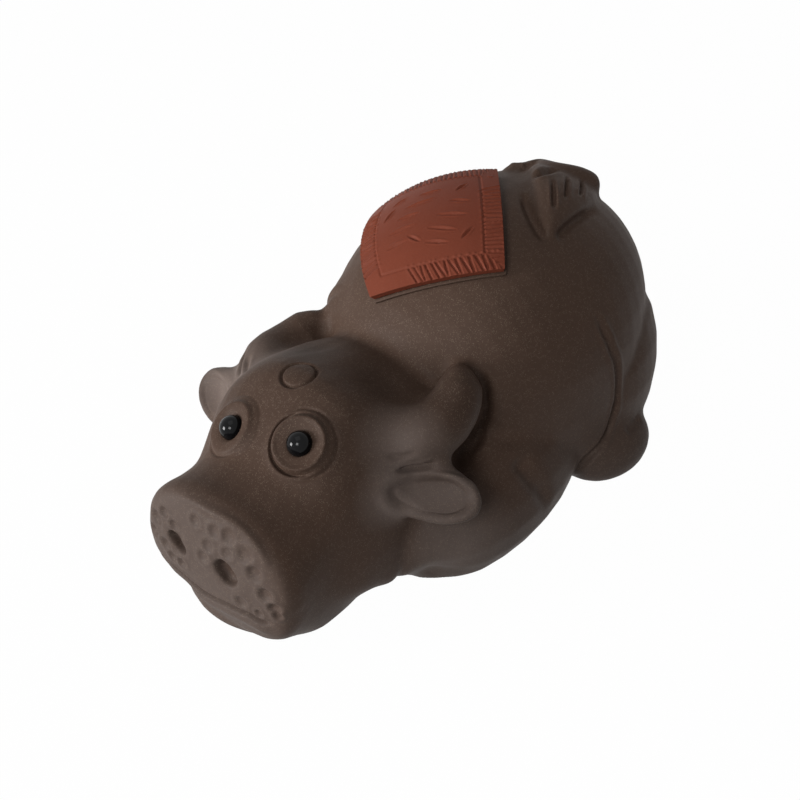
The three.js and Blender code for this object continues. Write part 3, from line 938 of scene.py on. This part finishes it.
EYE_FINE = 9.0
EYE_DEPTHS = (1.0, 0.3)
EYE_AHEAD = (-0.75, -0.55, -0.35)
EYE_FACING = (-0.5, 0.6)
EYE_SPAN = 5
EYE_CORE = 0.1
EYE_LEVEL = (3.2, 5.0)
EYE_RADIUS = 5.2
EYE_SINK = 0.3
EYE_HOLLOW = 0.55
EYE_DISH_SHARE = (0.2, 0.6)
EYE_EDGE = (4.9, 5.7)
EYE_RIM = (5.0, 0.5)
EYE_RIM_SHARE = 0.25
EYE_GROOVE = (5.95, 0.33)
EYE_GROOVE_LEAST = 0.15
EYE_FOLD = (6.9, 0.35)
EYE_FOLD_SHARE = 0.35
CROWN_SPOT = (-1.7, -55.1, 43.4)
CROWN_FINE = 5.5
CROWN_RING = (3.5, 0.27)
CROWN_DEPTH = 0.8
CROWN_SPAN = 3


class OX_OT_face(bpy.types.Operator):
    """Models the muzzle, the eye rings and the ring on the crown"""

    bl_idname = "ox.face"
    bl_label = "Face"

    def execute(self, context):
        eyes = [eye_frame(side) for side in SIDES]
        refine(
            [(PAD_MIDDLE, PAD_FINE), (CROWN_SPOT, CROWN_FINE)] + [(middle, EYE_FINE) for middle, _ in eyes]
        )
        skin = Skin()
        self.muzzle(skin)
        skin.settle()
        skin = Skin()
        for (middle, out), depth in zip(eyes, EYE_DEPTHS):
            self.eye(skin, middle, out, depth)
        self.crown(skin)
        skin.settle()
        return {"FINISHED"}

    def muzzle(self, skin):
        """The flat pad with its dents and nostrils, and the lip, jaw and throat under it."""
        skin.rub_around(PAD_MIDDLE, **PAD_RUB)
        for spot in JAW_SIDES:
            skin.rub_around(spot, **JAW_RUB)
        for spot in JAW_FILLS:
            dent(skin, spot, **JAW_CLAY)
        for spot in FAR_LIP:
            dent(skin, spot, **FAR_LIP_PRESS)
        for spot in THROAT:
            skin.rub_around(spot, **THROAT_RUB)
        stroke(skin, PAD_RIM, **RIM_ROLL)
        stroke(skin, np.array(MOUTH) - LIP_DROP, **LIP_ROLL)
        stroke(skin, MOUTH, **MOUTH_LINE)
        for nostril, width in zip(NOSTRILS, NOSTRIL_WIDTHS):
            stroke(skin, nostril, width, **NOSTRIL_PIT)
        for across, up, width, depth in PAD_DENTS:
            dent(skin, (across, PAD_FACE, up), width, depth, **DENT_RIM)

    def eye(self, skin, middle, out, depth):
        """A dish round the bead, cut free of the head by a groove that is deepest towards the muzzle."""
        ahead = np.array(EYE_AHEAD)
        ahead -= out * (ahead @ out)
        ahead /= np.linalg.norm(ahead)
        offset, rise, reach = skin.about(middle, out)
        near = np.abs(rise) < EYE_SPAN
        facing = smooth_step((offset @ ahead) / np.maximum(reach, EYE_CORE), *EYE_FACING)
        inner, outer = EYE_LEVEL
        level = np.median(rise[near & (reach > inner) & (reach < outer)])
        dish = level - EYE_SINK + EYE_HOLLOW * (reach / EYE_RADIUS) ** 2 - rise
        least, more = EYE_DISH_SHARE
        height = (least + more * depth) * dish * (1 - smooth_step(reach, *EYE_EDGE))
        height += EYE_RIM_SHARE * depth * bell(reach, *EYE_RIM)
        height -= depth * (EYE_GROOVE_LEAST + facing) * bell(reach, *EYE_GROOVE)
        height -= EYE_FOLD_SHARE * depth * (1 - facing) * bell(reach, *EYE_FOLD)
        skin.lift(height * near, out)

    def crown(self, skin):
        """A ring, pressed in with the end of a tube."""
        point = skin.nearest(CROWN_SPOT)
        _, rise, reach = skin.about(skin.points[point], skin.out[point])
        skin.lift(-CROWN_DEPTH * bell(reach, *CROWN_RING) * (np.abs(rise) < CROWN_SPAN))


def eye_frame(side):
    """Middle of an eye bead, and the way that the eye looks."""
    bead = node_points("eye_bead_" + side).mean(0)
    disc = node_points("eye_disc_" + side).mean(0)
    out = bead - disc
    return bead, out / np.linalg.norm(out)


# Tail, with spots and sizes in millimetres

TUFT_MIDDLE = (7.0, 11.0, 57.0)
TUFT_FINE = 13.0
TUFT_HAIRS = (
    ((4.8, 12.1, 58.4), (8.9, 7.4, 58.4), (11.7, 4.1, 57.6)),
    ((4.6, 17.1, 56.5), (8.7, 11.9, 57.8), (11.1, 8.5, 57.6)),
    ((5.5, 21.5, 54.8), (9.1, 16.4, 55.8), (11.3, 12.9, 56.3)),
)
HAIR = {"width": 0.45, "depth": 0.85, "lip": 0.2, "fade": 0.3}
TUFT_EDGES = (
    ((1.6, 6.7, 56.2), (5.1, 3.4, 56.2), (9.2, 0.5, 55.8), (12.6, -1.2, 54.9), (14.8, -1.0, 54.0)),
    ((15.6, 0.2, 54.0), (15.4, 3.0, 54.6), (14.9, 6.9, 54.6), (14.0, 11.8, 53.8), (12.2, 18.2, 51.5)),
)
EDGE = {"width": 0.9, "depth": 1.1, "fade": 0.25}
TUFT_HOLLOW = ((0.6, 10.6, 57.0), (1.6, 12.6, 58.0), (1.4, 15.5, 57.2), (0.9, 18.8, 56.0))
HOLLOW = {"width": 1.1, "depth": 1.3, "lip": 0.2, "fade": 0.3}
TAIL_ROOT = ((-11.0, 14.5, 52.3), (-9.0, 16.5, 52.2), (-7.0, 18.0, 52.6), (-4.5, 18.5, 53.6))
ROOT_ROLL = {"width": 2.4, "depth": -1.8, "fade": 0.35}


class OX_OT_tail_tuft(bpy.types.Operator):
    """Combs the tuft of the tail"""

    bl_idname = "ox.tail_tuft"
    bl_label = "Tail tuft"

    def execute(self, context):
        refine([(TUFT_MIDDLE, TUFT_FINE)])
        skin = Skin()
        stroke(skin, TAIL_ROOT, **ROOT_ROLL)
        for hair in TUFT_HAIRS:
            stroke(skin, hair, **HAIR)
        for edge in TUFT_EDGES:
            stroke(skin, edge, **EDGE)
        stroke(skin, TUFT_HOLLOW, **HOLLOW)
        skin.settle()
        return {"FINISHED"}


# The skin parted again

BEAD_PLAY = 0.05 * MM


class OX_OT_part_pieces(bpy.types.Operator):
    """Parts the finished skin into the pieces that were luted together"""

    bl_idname = "ox.part_pieces"
    bl_label = "Part pieces"

    def execute(self, context):
        clay = context.scene.ox_clay
        reach = clay.fillet + 2 * clay.slip
        rest = bpy.data.objects[SKIN]
        whole = duplicate(rest, "whole_skin")
        pick(whole)
        bpy.ops.object.shade_smooth()
        for side in SIDES:
            socket = bead_of(side, "bead_socket", BEAD_PLAY)
            cut(rest, socket, "DIFFERENCE")
            discard(socket)
        for node in PARTED:
            growth = clay.slip if node.startswith("eye_disc") else reach
            piece = self.part(rest, node, node + "_clay", growth)
            self.dress(piece, whole, node)
        trunk = self.part(rest, "trunk_shell", "trunk_clay", reach)
        head = keep_largest(rest)
        head.name = "head_clay"
        self.dress(head, whole, "head_shell")
        self.hollow(trunk, clay)
        self.dress(trunk, whole, "trunk_shell")
        discard(whole)
        return {"FINISHED"}

    def part(self, rest, node, name, growth):
        """Parts a piece from the rest, inside its grown CAD node."""
        cutter = copied(node, node + "_cutter")
        if node.startswith(("hind_foot", "trunk")):
            hull(cutter)
        grow(cutter, growth)
        piece = duplicate(rest, name)
        cut(piece, cutter, "INTERSECT")
        cut(rest, cutter, "DIFFERENCE")
        discard(cutter)
        return keep_largest(piece)

    def dress(self, piece, whole, node):
        """Finishes a parted piece, shaded like the whole skin."""
        finish_dark(piece, node)
        share_shading(piece, whole)

    def hollow(self, trunk, clay):
        """Opens the trunk for its hollow and for the slab that closes it."""
        low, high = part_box("trunk_shell")
        bpy.ops.mesh.primitive_uv_sphere_add(**BALL, radius=0.5, location=(low + high) / 2)
        room = bpy.context.object
        bpy.ops.transform.resize(value=(high - low) - Vector((2 * clay.wall,) * 3))
        bpy.ops.object.transform_apply(location=True, rotation=True, scale=True)
        cut(trunk, room, "DIFFERENCE")
        seat = copied("base_slab", "base_seat")
        hull(seat)
        grow(seat, clay.slip)
        cut(trunk, seat, "DIFFERENCE")
        discard(room, seat)


# Base

SLAB_FLATNESS = math.radians(3)
SLAB_EDGE = {"width": 0.5 * MM, "segments": 3, "limit_method": "ANGLE"}


class OX_OT_base(bpy.types.Operator):
    """Softens the edges of the slab that closes the trunk"""

    bl_idname = "ox.base"
    bl_label = "Base slab"

    def execute(self, context):
        slab = copied("base_slab", "base_clay")
        edit(slab, lambda: bpy.ops.mesh.dissolve_limited(angle_limit=SLAB_FLATNESS))
        modify(slab, "BEVEL", **SLAB_EDGE)
        finish_dark(slab, "base_slab")
        return {"FINISHED"}


# Eyes

BEAD_BACK = 1.7
BEAD_CUT_GAP = 0.0001 * MM
BEAD_EDGE = {"width": 0.2 * MM, "segments": 2, "limit_method": "ANGLE"}


def bead_of(side, name, play=0.0):
    """A ball at the place and size of an eye bead."""
    low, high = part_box("eye_bead_" + side)
    radius = max(high - low) / 2 + play
    bpy.ops.mesh.primitive_uv_sphere_add(**BALL, radius=radius, location=(low + high) / 2)
    bead = bpy.context.object
    bead.name = name
    bpy.ops.object.transform_apply(location=True, rotation=True, scale=True)
    return bead


def flatten_back(bead, side):
    """Cuts a bead flat behind its middle, in millimetres."""
    middle, out = eye_frame(side)
    plane = {"plane_co": (middle - BEAD_BACK * out) * MM, "plane_no": out, "threshold": BEAD_CUT_GAP}
    edit(bead, lambda: bpy.ops.mesh.bisect(**plane, use_fill=True, clear_inner=True))


class OX_OT_eyes(bpy.types.Operator):
    """Sets the glass beads"""

    bl_idname = "ox.eyes"
    bl_label = "Eyes"

    def execute(self, context):
        glass = bead_glass()
        for side in SIDES:
            bead = bead_of(side, "eye_bead_glass_" + side)
            flatten_back(bead, side)
            modify(bead, "BEVEL", **BEAD_EDGE)
            finish_piece(bead, glass, "black_glass", "eye_bead_" + side)
        return {"FINISHED"}


# Blanket, with sizes in millimetres

BACK_MIDDLE = np.array((0.0, 0.0, 27.0))
BLANKET_ALONG = np.array((0.81, 0.59, 0.0))
BLANKET_ACROSS = np.array((-0.59, 0.81, 0.0))
BLANKET_LEVELS = 4
UNDERLAY_LEVELS = 3
SLAB_RUBS = 2
TOP_SLOPE = (0.5, 0.9)
FRAME_WIDTH = 0.2
FRAME_DEPTH = 0.2
COMB_EDGE = (-0.3, 0.2)
COMB_MITRE = (-0.2, 0.4)
# Where the combing starts and stops on each side, as shares of it, and how hard the comb is pressed
COMBED = ((0.36, 0.98, 0.85), (0.02, 0.72, 1.0), (0.04, 0.94, 0.6), (0.28, 0.9, 1.6))
COMB_LUCK = 3
COMB_SLANT = 0.16
COMB_WIDTHS = (0.14, 0.19)
COMB_DEPTHS = (0.2, 0.4)
COMB_STEPS = (0.8, 1.25)
COMB_RIDGE = (2.0, 0.7)
COMB_RIDGE_HEIGHT = 0.1
CRUMB_HEIGHT = 0.16
CRUMB_GAP = 0.25
CRUMB_LENGTH = 0.3
CRUMB_WIDTH = 1.2
# Blades of grass, from root to tip, as shares of the framed field
GRASS = (
    ((0.12, 0.22), (0.3, 0.26)),
    ((0.16, 0.36), (0.38, 0.4)),
    ((0.24, 0.5), (0.43, 0.52)),
    ((0.3, 0.62), (0.56, 0.67)),
    ((0.42, 0.77), (0.62, 0.79)),
    ((0.46, 0.2), (0.66, 0.16)),
    ((0.5, 0.33), (0.74, 0.27)),
    ((0.58, 0.45), (0.86, 0.42)),
    ((0.7, 0.6), (0.88, 0.58)),
    ((0.1, 0.55), (0.2, 0.68)),
    ((0.16, 0.74), (0.3, 0.82)),
    ((0.76, 0.74), (0.86, 0.84)),
    ((0.78, 0.18), (0.9, 0.28)),
    ((0.32, 0.3), (0.42, 0.22)),
)
BLADE_STEPS = 30
BLADE_WIDTH = 0.24
BLADE_DEPTH = 0.38
BLADE_TIP = 0.4
BLADE_LIP = (1.9, 0.7)
BLADE_LIP_HEIGHT = 0.15


def slab_of(node, name, levels):
    """A fine copy of a clay slab, its cut edges kept."""
    slab = copied(node, name)
    edit(
        slab,
        bpy.ops.mesh.tris_convert_to_quads,
        lambda: bpy.ops.mesh.select_mode(type="EDGE"),
        lambda: bpy.ops.mesh.select_all(action="DESELECT"),
        lambda: bpy.ops.mesh.edges_select_sharp(sharpness=SHARP_ANGLE),
        lambda: bpy.ops.transform.edge_crease(value=1.0),
    )
    modify(slab, "SUBSURF", levels=levels, render_levels=levels)
    rub(slab, SLAB_RUBS)
    return slab


def slab_sides(node, points):
    """Distance of points from the four sides of a slab, which all point to the middle of the back."""
    corners = node_points(node) - BACK_MIDDLE
    turns = ((-1, -1), (1, -1), (1, 1), (-1, 1))
    ring = [corners[np.argmax(corners @ (a * BLANKET_ALONG + b * BLANKET_ACROSS))] for a, b in turns]
    sides = []
    for first, second in zip(ring, ring[1:] + ring[:1]):
        inwards = np.cross(first, second)
        sides.append((points - BACK_MIDDLE) @ inwards / np.linalg.norm(inwards))
    return sides


class OX_OT_blanket(bpy.types.Operator):
    """Models the saddle blanket and its underlay"""

    bl_idname = "ox.blanket"
    bl_label = "Saddle blanket"

    def execute(self, context):
        finish_dark(slab_of("blanket_underlay", "underlay_clay", UNDERLAY_LEVELS), "blanket_underlay")
        blanket = slab_of("saddle_blanket", "blanket_clay", BLANKET_LEVELS)
        settings = context.scene.ox_blanket
        skin = Skin(blanket.name)
        sides = slab_sides("saddle_blanket", skin.points)
        outwards = skin.points - BACK_MIDDLE
        outwards /= np.linalg.norm(outwards, axis=1)[:, None]
        top = smooth_step((skin.out * outwards).sum(1), *TOP_SLOPE)
        height = self.border(sides, settings) + self.grass(sides, settings)
        skin.lift(height * top)
        skin.settle()
        finish_piece(blanket, red_clay(), "red_clay", "saddle_blanket")
        return {"FINISHED"}

    def border(self, sides, settings):
        """A frame line, and short strokes of the comb from it to the edge, each with a crumb at its end."""
        border = settings.border / MM
        comb = settings.comb / MM
        luck = np.random.default_rng(COMB_LUCK)
        height = -FRAME_DEPTH * bell(np.minimum.reduce(sides), border, FRAME_WIDTH)
        for turn, (first, last, pressure) in enumerate(COMBED):
            along, inwards, beyond = sides[turn - 1], sides[turn], sides[(turn + 1) % 4]
            span = (along + beyond).mean()
            reach = smooth_step(inwards, *COMB_EDGE)
            reach *= 1 - smooth_step(inwards, border - FRAME_WIDTH, border + FRAME_WIDTH)
            reach *= smooth_step(np.minimum(along, beyond) - inwards, *COMB_MITRE)
            spot = first * span
            while spot < last * span:
                slant = luck.uniform(-COMB_SLANT, COMB_SLANT)
                gap = (along - spot - slant * (inwards - border / 2)) / luck.uniform(*COMB_WIDTHS)
                depth = pressure * luck.uniform(*COMB_DEPTHS)
                height -= depth * np.exp(-(gap**2)) * reach
                height += COMB_RIDGE_HEIGHT * bell(np.abs(gap), *COMB_RIDGE) * reach
                crumb = bell(inwards, border + CRUMB_GAP, CRUMB_LENGTH) * bell(gap, 0, CRUMB_WIDTH)
                height += CRUMB_HEIGHT * crumb
                spot += comb * luck.uniform(*COMB_STEPS)
        return height

    def grass(self, sides, settings):
        """Blades of grass, drawn with a point in the middle of the blanket."""
        border = settings.border / MM
        front, right, rear, left = (side - border for side in sides)
        span = (left + right).mean()
        rise = (front + rear).mean()
        places = np.stack([left / (left + right) * span, front / (front + rear) * rise], 1)
        height = np.zeros(len(front))
        for blade in GRASS:
            spots = curve_through([(x * span, y * rise, 0) for x, y in blade], BLADE_STEPS)[:, :2]
            gaps = np.sqrt(((places[:, None, :] - spots[None, :, :]) ** 2).sum(2))
            step = gaps.argmin(1)
            taper = BLADE_TIP + (1 - BLADE_TIP) * np.sin(np.pi * step / (len(spots) - 1))
            gap = gaps.min(1) / (BLADE_WIDTH * taper)
            height -= BLADE_DEPTH * taper * np.exp(-(gap**2))
            height += BLADE_LIP_HEIGHT * taper * bell(gap, *BLADE_LIP)
        return height


# Studio

# Names, places and sizes of the lamps in metres, and their power in watts
LAMPS = (
    ("window", (-0.45, -0.8, 0.16), 0.3, 10.5),
    ("door", (0.28, -0.74, 0.55), 0.3, 4.5),
    ("ceiling", (-0.1, -0.2, 0.9), 0.6, 1.0),
)
FLOOR_SIZE = 6.0
FLOOR_GLOW = 0.985
ROOM_LIGHT = 0.08
SENSOR_WIDTH = 36.0


def turn_to(thing, aim):
    """Turns a lamp or a camera to a point."""
    way = Vector(aim) - thing.location
    thing.rotation_euler = way.to_track_quat("-Z", "Y").to_euler()


class OX_OT_stage(bpy.types.Operator):
    """Lays the floor, hangs the lamps and sets the camera"""

    bl_idname = "ox.stage"
    bl_label = "Stage"

    def execute(self, context):
        stage = context.scene.ox_stage
        self.floor(stage)
        for name, place, size, power in LAMPS:
            self.lamp(name, place, size, power, stage)
        self.world(context)
        self.camera(context, stage)
        context.scene.view_settings.view_transform = "Standard"
        return {"FINISHED"}

    def floor(self, stage):
        bpy.ops.mesh.primitive_plane_add(size=FLOOR_SIZE)
        floor = bpy.context.object
        floor.name = "floor"
        finish = Finish(bpy.data.materials.new("floor_finish"))
        finish.set(Base_Color=shade(stage.floor_colour, 1.0), Roughness=0.9)
        matt = Socket(finish.tree, finish.shader.outputs[0])
        glow = finish.node("Emission", Color=WHITE, Strength=1.0)
        glow_share = finish.background_share() * FLOOR_GLOW
        mixed = finish.node("MixShader", Fac=glow_share, Shader=matt, Shader_001=glow)
        plug(finish.tree, finish.tree.nodes["Material Output"].inputs["Surface"], mixed)
        floor.data.materials.append(finish.owner)

    def lamp(self, name, place, size, power, stage):
        bpy.ops.object.light_add(type="AREA", location=place)
        lamp = bpy.context.object
        lamp.name = name
        lamp.data.size = size
        lamp.data.energy = power
        turn_to(lamp, stage.camera_aim)

    def world(self, context):
        room = Finish(bpy.data.worlds.new("studio"), "Background")
        room.set(Color=WHITE, Strength=ROOM_LIGHT + (1 - ROOM_LIGHT) * room.background_share())
        context.scene.world = room.owner

    def camera(self, context, stage):
        bpy.ops.object.camera_add(location=stage.camera_place)
        camera = bpy.context.object
        camera.data.lens = stage.lens
        camera.data.sensor_width = SENSOR_WIDTH
        turn_to(camera, stage.camera_aim)
        context.scene.camera = camera


class OX_PT_panel(bpy.types.Panel):
    """Lists the steps in order"""

    bl_idname = "OX_PT_panel"
    bl_label = "Resting ox"
    bl_space_type = "VIEW_3D"
    bl_region_type = "UI"
    bl_category = "Ox"

    def draw(self, context):
        for operator in OPERATORS:
            self.layout.operator(operator.bl_idname)


OPERATORS = (
    OX_OT_knead_body,
    OX_OT_horns_ears,
    OX_OT_legs,
    OX_OT_face,
    OX_OT_tail_tuft,
    OX_OT_part_pieces,
    OX_OT_base,
    OX_OT_eyes,
    OX_OT_blanket,
    OX_OT_stage,
)
GROUPS = {"ox_clay": OxClay, "ox_blanket": OxBlanket, "ox_stage": OxStage}
CLASSES = tuple(GROUPS.values()) + OPERATORS + (OX_PT_panel,)


def register():
    for item in CLASSES:
        bpy.utils.register_class(item)
    for name, group in GROUPS.items():
        setattr(bpy.types.Scene, name, bpy.props.PointerProperty(type=group))


def unregister():
    for name in GROUPS:
        delattr(bpy.types.Scene, name)
    for item in reversed(CLASSES):
        bpy.utils.unregister_class(item)


def main():
    register()
    for operator in OPERATORS:
        family, step = operator.bl_idname.split(".")
        getattr(getattr(bpy.ops, family), step)()


if __name__ == "__main__":
    main()
